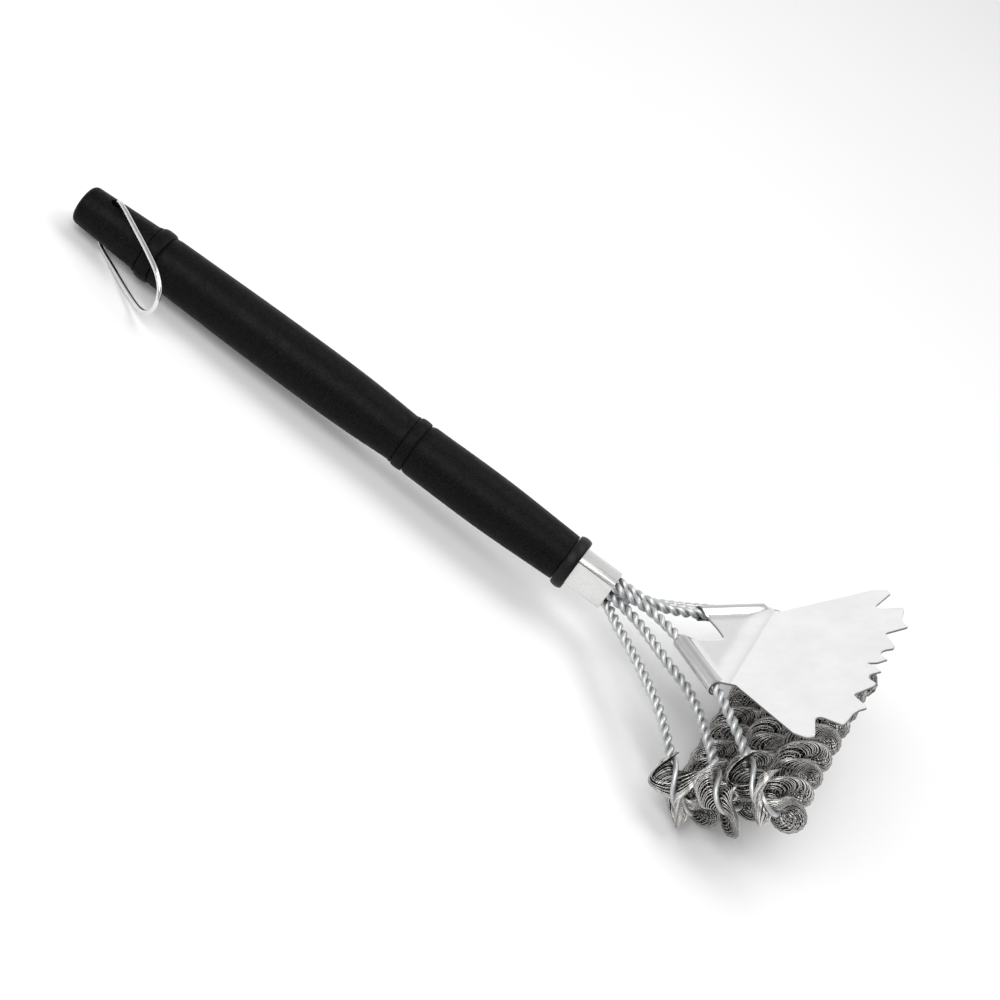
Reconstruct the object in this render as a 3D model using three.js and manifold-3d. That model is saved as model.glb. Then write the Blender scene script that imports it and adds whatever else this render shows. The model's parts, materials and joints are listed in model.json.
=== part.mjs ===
// Grill cleaning brush: a hollow plastic handle, a steel ferrule that clamps three bails of
// twisted wire, a scrubbing coil pinched in each bail, a sheet scraper rolled round the front
// bail's arms, and a wire hanging loop that swings in a cross hole near the handle's end.
//
// Millimetres. Everything is drawn in the handle's own frame: X runs along the handle towards
// the head with X = 0 at the ferrule's mouth, Y is across the head, and Z points away from the
// grill. The whole brush is then laid down on the surface it rests on.

import * as THREE from 'three';
import Module from 'manifold-3d';
import { mergeVertices } from 'three/addons/utils/BufferGeometryUtils.js';

const wasm = await Module();
wasm.setup();

// ---------------------------------------------------------------- driving dimensions

const REST_TILT = 3.15;            // degrees: the head end of the handle sits this much higher
const GAP = 0.3;                   // between pieces that touch

const handle = {
  front: -27.4,                    // where the front cap meets the shell
  end: -323.6,                     // rounded rear end
  shoulder: 12.5,                  // radius of the front end
  boreRadius: 11.3,
  boreTip: 8.8,                    // radius at the bottom of the bore, which narrows on its way in
  boreDepth: 264,                  // the last stretch, with the cross hole, is solid
  grooveDepth: 0.5,                // beside each ring
  sides: 20,
};
const crossHole = { x: -308.3, radius: 3 };
const cap = { front: -20.6, beadRadius: 14.25, faceRadius: 12.6, spigotLength: 20 };
const ferrule = { width: 13.1, height: 17.1, sheet: 0.8, corner: 2, seam: 0.5, tang: 46, slitLength: 200 };

const wire = {
  radius: 1.2,                     // one strand
  sides: 5,
  armPitch: 10.5,                  // length of one full twist in the arms
  armOffset: 1.45,                 // strand centre from the pair's centreline
  rowOffset: 2,                    // wider in the row, where the coil is pinched between them
  armSteps: 6,                     // sections per twist
  tang: 30,                        // straight length clamped inside the ferrule
  exitY: 2.9,                      // both arms leave the ferrule side by side
  mouthEnds: [-15, -3, 1],         // X of further points that hold the arms straight there
};
const coil = {
  radius: 12.8,                    // half the ribbon's width
  halfThickness: 1.3,
  waist: 0.1,                      // half thickness where the strands pinch it
  pitch: 33.4,
  steps: 10,                       // sections per twist in the straight row
  bendSteps: 14,                   // and round the bends
  straight: 66,                    // half the length of row before the bends
  taper: [46, 61],                 // where along the wire it narrows, for the bends
  release: [-3, 7],                // beyond its ends, where the strands close up again
  bendCrowding: 0.5,               // share of the bend's radius that the ribbon may take up
  armClearance: 1,                 // from the surface of any arm
  armStart: 60,                    // the wire counts as an arm from here outwards
  ownStretch: 16,                  // the wire this near along the ribbon is its own core
  pullSteps: 16,                   // steps in which a corner is pulled clear of an arm
};

// Each bail: its row of coil in X and Z and half the row's length up to the bail's sharp corner,
// the height at which it leaves the ferrule, half the coil's length along the wire, its radius at
// the ends and its twist at the middle, and the points that one arm passes towards the corner.
const bendRadius = 7;
const bails = {
  rear: {
    row: [90, -23.7], rowEnd: 86, exitZ: -5.3, reach: 107, endRadius: 10.4, phase: 0,
    arm: [[12, 13, -4.9], [32.7, 32, -4], [53.1, 53.2, -4], [73.1, 73.3, -11.5]],
  },
  middle: {
    row: [106, -9.9], rowEnd: 91, exitZ: 0, reach: 100, endRadius: 8.6, phase: 90,
    arm: [[17.9, 8.8, 1.2], [39.6, 24.4, 3.6], [61.3, 37.1, 3.2], [85.5, 61.9, -1.2]],
  },
  front: {
    row: [120.9, 4.8], rowEnd: 88, exitZ: 5.3, reach: 106, endRadius: 10.4, phase: 0,
    arm: [[22, 3.6, 6.9], [41.5, 14.5, 10.6], [54.2, 27.2, 14.2], [67, 40, 17.8], [96, 63, 13]],
  },
};

const sheet = {
  thickness: 0.9,
  rollRadius: 3.15,                // inside radius of the edges rolled round the arms
  bendX: 72.3,                     // line where the blade turns up, parallel to Y
  bendWidth: 38,                   // half its length
  notchX: 57.8,                    // bottom of the rear notch
  bladeTilt: 33.2,                 // degrees above the handle's axis
  rollFrom: 105,                   // the rolled edge's section, from above the arm
  rollTo: -100,                    // over its outer side to underneath, in degrees
};

const loop = {
  wireRadius: 1.25,
  length: 61.2,
  legZ: 13.3,                      // legs' distance from the handle's axis
  swing: -35,                      // degrees from the handle's axis, at rest
  sides: 8,
  steps: 46,
};

// ---------------------------------------------------------------- materials

const finish = (color, roughness, metalness) =>
  new THREE.MeshStandardMaterial({ color, roughness, metalness });
const materials = {
  plastic: () => finish(0x151516, 0.55, 0),
  stainless: () => finish(0xd4d5d6, 0.25, 1),
  galvanised: () => finish(0xa9adb0, 0.4, 1),
  coilSteel: () => finish(0x6e6660, 0.45, 1),
};

// ---------------------------------------------------------------- helpers

const rad = THREE.MathUtils.degToRad;
const vec = (x, y, z) => new THREE.Vector3(x, y, z);

function toSolid(geometry) {
  const bare = geometry.clone();
  bare.deleteAttribute('normal');
  bare.deleteAttribute('uv');
  const merged = mergeVertices(bare.index ? bare.toNonIndexed() : bare, 1e-4);
  return new wasm.Manifold(new wasm.Mesh({
    numProp: 3,
    vertProperties: new Float32Array(merged.attributes.position.array),
    triVerts: new Uint32Array(merged.index.array),
  }));
}

function toGeometry(solid) {
  const mesh = solid.getMesh();
  const geometry = new THREE.BufferGeometry();
  geometry.setAttribute('position', new THREE.BufferAttribute(mesh.vertProperties, 3));
  geometry.setIndex(new THREE.BufferAttribute(mesh.triVerts, 1));
  geometry.computeVertexNormals();
  return geometry;
}

function named(name, geometry, material) {
  const mesh = new THREE.Mesh(geometry, material);
  mesh.name = name;
  return mesh;
}

// Turn a profile of [x, radius] pairs about the X axis.
function turned(profile, sides) {
  const points = profile.map(([x, r]) => new THREE.Vector2(r, x));
  return new THREE.LatheGeometry(points, sides).rotateZ(-Math.PI / 2);
}

function roundedRect(target, width, height, corner) {
  const [w, h] = [width / 2 - corner, height / 2 - corner];
  target.absarc(w, h, corner, 0, Math.PI / 2);
  target.absarc(-w, h, corner, Math.PI / 2, Math.PI);
  target.absarc(-w, -h, corner, Math.PI, 1.5 * Math.PI);
  target.absarc(w, -h, corner, 1.5 * Math.PI, 2 * Math.PI);
  return target;
}

// Extrude a shape drawn in (Y, Z) along +X, from x0 over a length.
function alongX(shape, x0, length, curveSegments = 3) {
  const geometry = new THREE.ExtrudeGeometry(shape, { depth: length, bevelEnabled: false, curveSegments });
  const basis = new THREE.Matrix4().makeBasis(vec(0, 1, 0), vec(0, 0, 1), vec(1, 0, 0));
  return geometry.applyMatrix4(basis).translate(x0, 0, 0);
}

// ---------------------------------------------------------------- handle

// A smooth barrel through stations of [x, radius], as steps + 1 profile points.
function barrel(stations, steps) {
  const curve = new THREE.CatmullRomCurve3(stations.map(([x, r]) => vec(x, r, 0)), false, 'centripetal');
  return curve.getPoints(steps).map((p) => [p.x, p.y]);
}

// A half-round ring of the given width and crest radius, between two fine grooves.
function ring(x, width, crest, root) {
  const groove = root - handle.grooveDepth;
  const points = [[x + width / 2 + 1, root], [x + width / 2, groove]];
  for (const a of [35, 65, 90, 115, 145]) {
    points.push([x + (width / 2) * Math.cos(rad(a)), root + (crest - root) * Math.sin(rad(a))]);
  }
  points.push([x - width / 2, groove], [x - width / 2 - 1, root]);
  return points;
}

function handleShell() {
  const { front, end, shoulder, boreRadius, boreTip, boreDepth, sides } = handle;
  const outside = [
    ...barrel([[front - 3, 12.7], [-72, 14.15], [-115.5, 13.85]], 7),
    ...ring(-121.2, 6, 14.1, 13.4),
    ...barrel([[-127, 12.95], [-158, 14.4], [-205, 14.5], [-272, 13.4]], 10),
    ...ring(-278.8, 7.4, 14.3, 13.1),
    [-285.5, 12.45],
    ...barrel([[-300, 11.7], [end + 3, 10.6], [end + 0.9, 9.7], [end, 7.6]], 5),
  ];
  const profile = [
    [front - boreDepth, 0], [front - boreDepth, boreTip],
    [front - 1.5 * cap.spigotLength, boreRadius], [front, boreRadius],
    [front, shoulder], ...outside, [end, 0],
  ].reverse();
  const shell = toSolid(turned(profile, sides));
  const hole = new THREE.CylinderGeometry(crossHole.radius, crossHole.radius, 40, 14);
  hole.rotateX(Math.PI / 2).translate(crossHole.x, 0, 0);
  return toGeometry(shell.subtract(toSolid(hole)));
}

function frontCap() {
  const { front, beadRadius, faceRadius, spigotLength } = cap;
  const back = handle.front + GAP;
  const middle = (front + back) / 2;
  const profile = [
    [handle.front - spigotLength, 0],
    [handle.front - spigotLength, handle.boreRadius - GAP],
    [back, handle.boreRadius - GAP],
    [back, faceRadius],
    [middle - 2.4, beadRadius - 0.6], [middle - 0.8, beadRadius], [middle + 0.8, beadRadius],
    [middle + 2.4, beadRadius - 0.6], [front, faceRadius],
    [front, 0],
  ];
  const body = toSolid(turned(profile, handle.sides));
  const clear = 2 * GAP;
  const [width, height] = [ferrule.width + clear, ferrule.height + clear];
  const slot = roundedRect(new THREE.Shape(), width, height, ferrule.corner + GAP);
  const cut = toSolid(alongX(slot, handle.front - 2 * spigotLength, 4 * spigotLength));
  return toGeometry(body.subtract(cut));
}

// ---------------------------------------------------------------- ferrule

// Sheet folded into a rectangular sleeve, with its seam beside the upper near edge.
function ferruleSleeve() {
  const { width, height, sheet: t, corner, seam, tang, slitLength } = ferrule;
  const outer = roundedRect(new THREE.Shape(), width, height, corner);
  outer.holes.push(roundedRect(new THREE.Path(), width - 2 * t, height - 2 * t, corner - t));
  const sleeve = toSolid(alongX(outer, cap.front - tang, tang - cap.front));
  const slit = new THREE.BoxGeometry(slitLength, seam, 3 * t);
  slit.translate(0, -width / 2 + corner + seam, height / 2 - t / 2);
  return toGeometry(sleeve.subtract(toSolid(slit)));
}

// ---------------------------------------------------------------- bails of twisted wire

// Points round a circular bend of a given radius that replaces the corner between two legs.
function filletPoints(from, corner, to, radius, steps) {
  const legA = from.clone().sub(corner).normalize();
  const legB = to.clone().sub(corner).normalize();
  const halfAngle = legA.angleTo(legB) / 2;
  const middle = legA.clone().add(legB).setLength(radius / Math.sin(halfAngle)).add(corner);
  const start = legA.clone().multiplyScalar(radius / Math.tan(halfAngle)).add(corner).sub(middle);
  const axis = vec(0, 0, 0).crossVectors(legB, legA).normalize();
  const sweep = Math.PI - 2 * halfAngle;
  return Array.from({ length: steps + 1 }, (_, i) =>
    start.clone().applyAxisAngle(axis, (sweep * i) / steps).add(middle));
}

// Centreline of one bail, from inside the ferrule down the near arm, along the row and back.
function bailCentreline({ row: [x, z], rowEnd, exitZ, arm }) {
  const corner = vec(x, -rowEnd, z);
  const last = arm[arm.length - 1];
  const bend = filletPoints(vec(last[0], -last[1], last[2]), corner, vec(x, 0, z), bendRadius, 6);
  const half = [
    ...[-wire.tang, ...wire.mouthEnds].map((mx) => vec(mx, -wire.exitY, exitZ)),
    ...arm.map(([ax, ay, az]) => vec(ax, -ay, az)),
    ...bend,
    vec(x, -0.6 * rowEnd, z), vec(x, -0.3 * rowEnd, z),
  ];
  const mirrored = half.map((p) => vec(p.x, -p.y, p.z)).reverse();
  const curve = new THREE.CatmullRomCurve3([...half, ...mirrored], false, 'centripetal');
  curve.arcLengthDivisions = 1500;
  return curve;
}

// Sections along a bail, worked outwards from the row's middle: the distance s along the
// centreline, the twist there and the strands' offset. The arm's pitch is stretched a little
// so that the strands lie side by side, across the head, where the ferrule clamps them.
function bailSections(length, { phase, reach }) {
  const mouth = length / 2 - wire.tang;
  const coilTurns = reach / coil.pitch;
  const quarter = phase === 0 ? 0.25 : 0;
  const wanted = coilTurns + (mouth - reach) / wire.armPitch;
  const mouthTurns = quarter + Math.round(2 * (wanted - quarter)) / 2;
  const stretches = [
    { to: coil.straight, turns: coil.straight / coil.pitch, perTurn: coil.steps },
    { to: reach, turns: coilTurns, perTurn: coil.bendSteps },
    { to: mouth, turns: mouthTurns, perTurn: wire.armSteps },
    { to: length / 2, turns: mouthTurns, perTurn: 0 },
  ];
  const { lerp, smoothstep } = THREE.MathUtils;
  const half = [{ s: 0, turns: 0 }];
  for (const { to, turns, perTurn } of stretches) {
    const from = half[half.length - 1];
    const count = Math.max(1, Math.round((turns - from.turns) * perTurn));
    for (let i = 1; i <= count; i += 1) {
      half.push({ s: lerp(from.s, to, i / count), turns: lerp(from.turns, turns, i / count) });
    }
  }
  const mirrored = half.slice(1).reverse().map(({ s, turns }) => ({ s: -s, turns: -turns }));
  return [...mirrored, ...half].map(({ s, turns }) => {
    const pinch = 1 - smoothstep(Math.abs(s) - reach, ...coil.release);
    return {
      u: 0.5 + s / length,
      s,
      twist: 2 * Math.PI * turns + rad(phase),
      offset: lerp(wire.armOffset, wire.rowOffset, pinch),
    };
  });
}

// Frames along a bail. The normal stays as near to +Z as it can, because the bails lie almost
// flat, so the frames themselves hardly turn and the rows' twists can be compared.
function bailFrames(spec) {
  const curve = bailCentreline(spec);
  const up = vec(0, 0, 1);
  const sections = bailSections(curve.getLength(), spec);
  return sections.map((section) => {
    const centre = curve.getPointAt(section.u);
    const tangent = curve.getTangentAt(section.u);
    const normal = up.clone().addScaledVector(tangent, -up.dot(tangent)).normalize();
    const side = vec(0, 0, 0).crossVectors(tangent, normal);
    const along = normal.clone().multiplyScalar(Math.cos(section.twist));
    along.addScaledVector(side, Math.sin(section.twist));
    const across = vec(0, 0, 0).crossVectors(along, tangent);
    return { ...section, centre, tangent, along, across };
  });
}

// One strand of a pair: the line through its centre at every section of the bail.
class StrandCurve extends THREE.Curve {
  constructor(frames, sign) {
    super();
    this.points = frames.map(({ centre, along, offset }) =>
      centre.clone().addScaledVector(along, sign * offset));
  }

  getPoint(t, target = new THREE.Vector3()) {
    const place = t * (this.points.length - 1);
    const index = Math.min(Math.floor(place), this.points.length - 2);
    return target.lerpVectors(this.points[index], this.points[index + 1], place - index);
  }

  // Steps fall on the bail's own sections, close together in the arms and wide in the row.
  getUtoTmapping(u) {
    return u;
  }
}

function circleShape(radius, sides) {
  const shape = new THREE.Shape();
  for (let i = 0; i < sides; i += 1) {
    const a = (2 * Math.PI * i) / sides;
    if (i === 0) shape.moveTo(radius, 0);
    else shape.lineTo(radius * Math.cos(a), radius * Math.sin(a));
  }
  return shape;
}

function strand(frames, sign) {
  const extrudePath = new StrandCurve(frames, sign);
  return new THREE.ExtrudeGeometry(circleShape(wire.radius, wire.sides), {
    steps: frames.length - 1, extrudePath, bevelEnabled: false,
  });
}

// ---------------------------------------------------------------- scrubbing coils

// The flattened coil, as the ribbon that it fills: a bow-tie section that turns with the
// strands. A corner that comes too near another arm, or past the inside of the bend, is
// pushed back towards the wire.
function scrubCoil(frames, { reach, endRadius }, arms) {
  const span = frames.filter(({ s }) => Math.abs(s) <= reach + 0.1);
  const outline = [
    [1, 0], [0.55, coil.halfThickness], [0, coil.waist], [-0.55, coil.halfThickness],
    [-1, 0], [-0.55, -coil.halfThickness], [0, -coil.waist], [0.55, -coil.halfThickness],
  ];
  const section = new THREE.Shape(outline.map(([w, t]) => new THREE.Vector2(w, t)));
  const steps = span.length - 1;
  const geometry = new THREE.ExtrudeGeometry(section, { depth: steps, steps, bevelEnabled: false });
  const position = geometry.attributes.position;
  const point = vec(0, 0, 0);
  for (let i = 0; i < position.count; i += 1) {
    const index = Math.round(position.getZ(i));
    const frame = span[index];
    const ending = THREE.MathUtils.smoothstep(Math.abs(frame.s), ...coil.taper);
    const halfWidth = THREE.MathUtils.lerp(coil.radius, endRadius, ending);
    const offset = vec(0, 0, 0).addScaledVector(frame.across, halfWidth * position.getX(i));
    offset.addScaledVector(frame.along, position.getY(i));
    const crowding = offset.dot(bendInward(span, index));
    if (crowding > coil.bendCrowding) offset.multiplyScalar(coil.bendCrowding / crowding);
    const step = offset.clone().multiplyScalar(-1 / coil.pullSteps);
    point.addVectors(frame.centre, offset);
    for (let n = 1; n < coil.pullSteps && tooClose(point, frame, arms); n += 1) point.add(step);
    position.setXYZ(i, point.x, point.y, point.z);
  }
  return geometry;
}

// Curvature of the centreline at a section, as a vector towards the inside of the bend.
function bendInward(span, index) {
  const before = span[Math.max(0, index - 1)];
  const after = span[Math.min(span.length - 1, index + 1)];
  return after.tangent.clone().sub(before.tangent).divideScalar(after.s - before.s);
}

function tooClose(point, frame, arms) {
  const clearance = wire.armOffset + wire.radius + coil.armClearance;
  return arms.some(({ frames, own }) => frames.some(({ centre, s }) =>
    (!own || Math.abs(s - frame.s) > coil.ownStretch) && centre.distanceTo(point) < clearance));
}

// ---------------------------------------------------------------- scraper

// Map a flat outline in (distance forward, Y) into a plane tilted about Y through a point.
function tilted(geometry, x, z, degrees) {
  const forward = vec(Math.cos(rad(degrees)), 0, Math.sin(rad(degrees)));
  const up = vec(-forward.z, 0, forward.x);
  const basis = new THREE.Matrix4().makeBasis(forward, vec(0, 1, 0), up);
  return geometry.applyMatrix4(basis).translate(x, 0, z);
}

// Half of the blade's outline, from the middle notch out to the bend line: [forward, y], with
// one round bite as ['arc', forward, y, radius].
const bladeHalf = [
  [55.9, 0], [61, 2.1], [64.6, 6.4],
  ['arc', 64.3, 11.9, 4.2],
  [64.6, 17.2], [64.6, 20.4],
  [58.4, 29.6], [57.9, 31], [58.8, 32.6],
  [65.9, 40], [65.9, 41.6],
  [62.9, 45.2], [61.2, 50.5], [60.5, 57], [59.2, 59],
  [49.5, 55.2], [47.2, 55.8], [46.4, 58],
  [49.9, 71.6], [49.4, 73.6], [46.4, 74.6],
  [40, 72.3], [2.7, sheet.bendWidth], [0, sheet.bendWidth],
];

function bladeOutline() {
  const half = bladeHalf.flatMap((entry) => {
    if (entry[0] !== 'arc') return [entry];
    const [, s, y, r] = entry;
    return [-60, -25, 0, 25, 60].map((a) => [s - r * Math.cos(rad(a)), y + r * Math.sin(rad(a))]);
  });
  const mirrored = half.slice(1).reverse().map(([s, y]) => [s, -y]);
  return new THREE.Shape([...mirrored, ...half].map(([s, y]) => new THREE.Vector2(s, y)));
}

function scraper() {
  const { thickness: t, rollRadius, bendX, bendWidth, notchX, bladeTilt, rollFrom, rollTo } = sheet;
  const [start, , end] = bails.front.arm.slice(1, 4).map(([x, y, z]) => vec(x, y, z));
  const plateTilt = THREE.MathUtils.radToDeg(Math.atan2(end.z - start.z, end.x - start.x));
  const slope = Math.tan(rad(plateTilt));
  const lift = rollRadius / Math.cos(rad(plateTilt));
  const bendZ = end.z + (bendX - end.x) * slope + lift;
  const forward = (x) => (x - bendX) / Math.cos(rad(plateTilt));

  const plate = new THREE.Shape();
  plate.moveTo(0.4, -bendWidth);
  plate.lineTo(forward(end.x), -end.y);
  plate.lineTo(forward(start.x), -start.y);
  plate.quadraticCurveTo(forward(51), -8.5, forward(notchX), -1);
  plate.lineTo(forward(notchX), 1);
  plate.quadraticCurveTo(forward(51), 8.5, forward(start.x), start.y);
  plate.lineTo(forward(end.x), end.y);
  plate.lineTo(0.4, bendWidth);
  const flat = { depth: t, bevelEnabled: false, curveSegments: 5 };
  let body = toSolid(tilted(new THREE.ExtrudeGeometry(plate, flat), bendX, bendZ, plateTilt));
  const blade = new THREE.ExtrudeGeometry(bladeOutline(), flat);
  body = body.add(toSolid(tilted(blade, bendX, bendZ, bladeTilt)));

  // Each side edge is rolled over the arm, down its outer side and back underneath.
  for (const side of [-1, 1]) {
    const roll = new THREE.Shape();
    roll.absarc(0, 0, rollRadius + t, rad(rollFrom), rad(rollTo), true);
    roll.absarc(0, 0, rollRadius, rad(rollTo), rad(rollFrom), false);
    const depth = start.distanceTo(end);
    const rolled = new THREE.ExtrudeGeometry(roll, { depth, bevelEnabled: false, curveSegments: 9 });
    const axis = end.clone().sub(start).normalize();
    const up = vec(-Math.sin(rad(plateTilt)), 0, Math.cos(rad(plateTilt)));
    const outward = vec(0, 0, 0).crossVectors(up, axis).normalize();
    rolled.applyMatrix4(new THREE.Matrix4().makeBasis(outward, up, axis));
    rolled.translate(start.x, start.y, start.z);
    let solid = toSolid(rolled);
    if (side < 0) solid = solid.mirror([0, 1, 0]);
    body = body.add(solid);
  }
  return toGeometry(body);
}

// ---------------------------------------------------------------- hanging loop

// Both ends turn into the cross hole; the legs run outside the handle and close in a round nose.
function hangingLoop() {
  const { wireRadius, length, legZ, sides, steps } = loop;
  const half = [
    [0, 6.4], [0, 10.4], [0.9, legZ - 0.8], [3.2, legZ], [22, legZ], [40, legZ - 0.6],
    [52, legZ - 2.3], [58.6, legZ - 6.2],
  ];
  const points = [
    ...half.map(([d, z]) => vec(d, 0, z)),
    vec(length, 0, 0),
    ...half.map(([d, z]) => vec(d, 0, -z)).reverse(),
  ];
  const extrudePath = new THREE.CatmullRomCurve3(points, false, 'centripetal');
  const section = circleShape(wireRadius, sides);
  return new THREE.ExtrudeGeometry(section, { steps, extrudePath, bevelEnabled: false });
}

// ---------------------------------------------------------------- assembly

const inHandleFrame = new THREE.Group();
inHandleFrame.add(named('handle_shell', handleShell(), materials.plastic()));
inHandleFrame.add(named('handle_front_cap', frontCap(), materials.plastic()));
inHandleFrame.add(named('ferrule_sleeve', ferruleSleeve(), materials.stainless()));

const frames = Object.fromEntries(Object.entries(bails).map(([key, spec]) => [key, bailFrames(spec)]));
for (const [key, own] of Object.entries(frames)) {
  inHandleFrame.add(named(`${key}_bail_strand_a`, strand(own, 1), materials.galvanised()));
  inHandleFrame.add(named(`${key}_bail_strand_b`, strand(own, -1), materials.galvanised()));
  const arms = Object.values(frames).map((list) => ({
    own: list === own,
    frames: list.filter(({ s }) => Math.abs(s) > coil.armStart),
  }));
  inHandleFrame.add(named(`${key}_scrub_coil`, scrubCoil(own, bails[key], arms), materials.coilSteel()));
}
inHandleFrame.add(named('scraper_blade', scraper(), materials.stainless()));

const swinging = new THREE.Group();
swinging.position.set(crossHole.x, 0, 0);
swinging.rotation.z = rad(loop.swing);
swinging.add(named('hanging_loop', hangingLoop(), materials.stainless()));
inHandleFrame.add(swinging);

// Lay the brush down, with the middle of its footprint at the origin.
inHandleFrame.rotation.y = -rad(REST_TILT);
const brush = new THREE.Group();
brush.add(inHandleFrame);
const box = new THREE.Box3().setFromObject(brush, true);
inHandleFrame.position.set(-(box.min.x + box.max.x) / 2, -(box.min.y + box.max.y) / 2, -box.min.z);

export default brush;
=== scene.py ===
# Grill cleaning brush: the finished surface of every piece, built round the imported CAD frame.
#
# Metres. Shapes are worked out in the handle's own frame, as the CAD's are: X runs along the handle
# towards the head with X = 0 at the ferrule's mouth, Y is across the head, and Z points away from the
# grill. place() then lays them down in the row frame with the rest of the brush.

import json
import math

import bmesh
import bpy
import numpy as np
from mathutils import Matrix, Vector
from mathutils.geometry import delaunay_2d_cdt


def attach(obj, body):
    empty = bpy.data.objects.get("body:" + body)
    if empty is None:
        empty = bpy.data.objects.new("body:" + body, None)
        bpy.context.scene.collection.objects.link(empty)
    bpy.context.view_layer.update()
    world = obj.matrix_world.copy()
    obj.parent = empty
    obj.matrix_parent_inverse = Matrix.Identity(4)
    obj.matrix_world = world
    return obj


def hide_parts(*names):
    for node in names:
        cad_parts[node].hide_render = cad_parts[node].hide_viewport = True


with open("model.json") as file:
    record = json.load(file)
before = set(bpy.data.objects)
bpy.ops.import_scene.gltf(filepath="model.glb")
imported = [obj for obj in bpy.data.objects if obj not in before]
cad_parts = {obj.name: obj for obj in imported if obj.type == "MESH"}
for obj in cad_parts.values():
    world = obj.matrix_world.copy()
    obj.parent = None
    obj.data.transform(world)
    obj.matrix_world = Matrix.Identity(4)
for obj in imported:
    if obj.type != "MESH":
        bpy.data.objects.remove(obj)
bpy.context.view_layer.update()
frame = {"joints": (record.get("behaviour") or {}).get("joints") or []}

# ---------------------------------------------------------------- design values

CROSS_HOLE_X = -0.3083
CROSS_HOLE_RADIUS = 0.003
COUNTERSINK_FROM, COUNTERSINK_RADIUS = 0.0108, 0.0046

# Handle: barrels between two moulded rings, as (x, radius).
HANDLE_FRONT = -0.0274
HANDLE_END = -0.3236
SHOULDER = 0.0125
BORE_RADIUS, BORE_TIP, BORE_DEPTH = 0.0113, 0.0088, 0.264
BORE_NARROWS = 0.030                # behind the handle's front
BARREL_FRONT = [(-0.0304, 0.0127), (-0.072, 0.01415), (-0.1155, 0.01385)]
RING_FRONT = dict(x=-0.1212, width=0.0060, crest=0.0141, root=0.0134)
BARREL_MIDDLE = [(-0.127, 0.01295), (-0.158, 0.0144), (-0.205, 0.0145), (-0.272, 0.0134)]
RING_REAR = dict(x=-0.2788, width=0.0074, crest=0.0143, root=0.0131)
BARREL_REAR = [(-0.2855, 0.01245), (-0.300, 0.0117), (-0.3206, 0.0106)]
# The groove beside a ring, as (distance from the ring's flank, height over its root).
RING_GROOVE = [(0.0011, 0.0), (0.0007, -0.0001), (0.0004, -0.0007), (0.0001, -0.0007), (0.0, -0.0002)]
RING_FULLNESS = 0.7                 # a power below 1 makes the round top fuller than half an ellipse
END_ROUND = 0.0030
EDGE = 0.0002                       # small chamfers of the plastic pieces
HANDLE_SIDES, CAP_SIDES, HOLE_SIDES = 128, 96, 48

CAP_FRONT = -0.0206
BEAD_RADIUS = 0.01425
BEAD_FULLNESS = 0.75
FACE_RADIUS = 0.0126
FACE_RIM = 0.001                    # width of the rim round the dished face
SPIGOT_LENGTH = 0.020
GAP = 0.0003

FERRULE_WIDTH, FERRULE_HEIGHT = 0.0131, 0.0171
FERRULE_SHEET = 0.0008
FERRULE_TANG = 0.046
FERRULE_SEAM = 0.00045              # gap between the lip and the sheet's first edge
FERRULE_CROWN = 0.00035             # rise of the top face in its middle
FERRULE_CORNER, FERRULE_LIP = 0.0009, 0.0013    # radii of its sharp folds and of the lip
FERRULE_BEVEL = 0.00012
SLOT_CORNER = 0.0014

WIRE_RADIUS = 0.00134
ARM_PITCH = 0.0105                  # length of an arm in which its strands turn once
ARM_OFFSET = WIRE_RADIUS            # from the bail's centreline to each strand: the two touch
ROW_OFFSET = 0.00185                # wider in the row, where the coil is pinched between them
STRAND_RELEASE = (-0.003, 0.007)    # beyond the coil's ends, where the strands close up again
TWIST_EASE = 0.003                  # length to each side of there in which the pitch changes
TANG = 0.030                        # length of wire inside the ferrule
EXIT_Y = 0.0029
MOUTH_ENDS = (-0.015, -0.003, 0.001)    # X of further points that hold the arms straight there
ROW_HOLDS = (0.6, 0.3)              # shares of half the row, at points that hold it straight
ROW_STEP, ARM_STEP = 0.0008, 0.00045    # wire between two rings of a strand's mesh
STRAND_SIDES = 14

# Each coil is wound twice. The outer winding is painted bright as highlight on its outward faces and dark as
# shade on its inward ones. The inner one lies between its layers and is painted dark all over as the shade
# inside the ribbon. Their turns lie spacing apart and lean to and fro along the bail. Thickness is to each
# side.
COIL_RADIUS = 0.0128
COIL_WIRE = 0.00022
OUTER_WINDING = dict(spacing=0.00105, lean=0.0090, thickness=0.0021, spread=1.0)
INNER_WINDING = dict(spacing=0.0010, lean=0.0070, thickness=0.0005, spread=0.93)
OUTER_SIDES, INNER_SIDES = 6, 4
TURN_STEPS = 44                     # points of wire in each turn
ROW_PITCH = 0.0334                  # length of the row in which the ribbon turns once
BEND_RADIUS = 0.007
LEAN_VARIES = 0.05                  # shares by which the turns differ from one another
TURNS_WANDER = 0.12
WIDTH_VARIES = 0.02
COIL_END_ROOM = 0.001               # how far the last turns may lean past the row's ends
PINCHED = 0.21                      # share of its thickness left between the strands
PINCH_OPENS = (0.08, 0.45)          # shares of the width where the ribbon regains its thickness
COIL_FLOP = 0.5                     # share by which the loops lie flatter than an even twist
FLOP_STARTS = (0.002, 0.006)        # from the wires outwards

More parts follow.
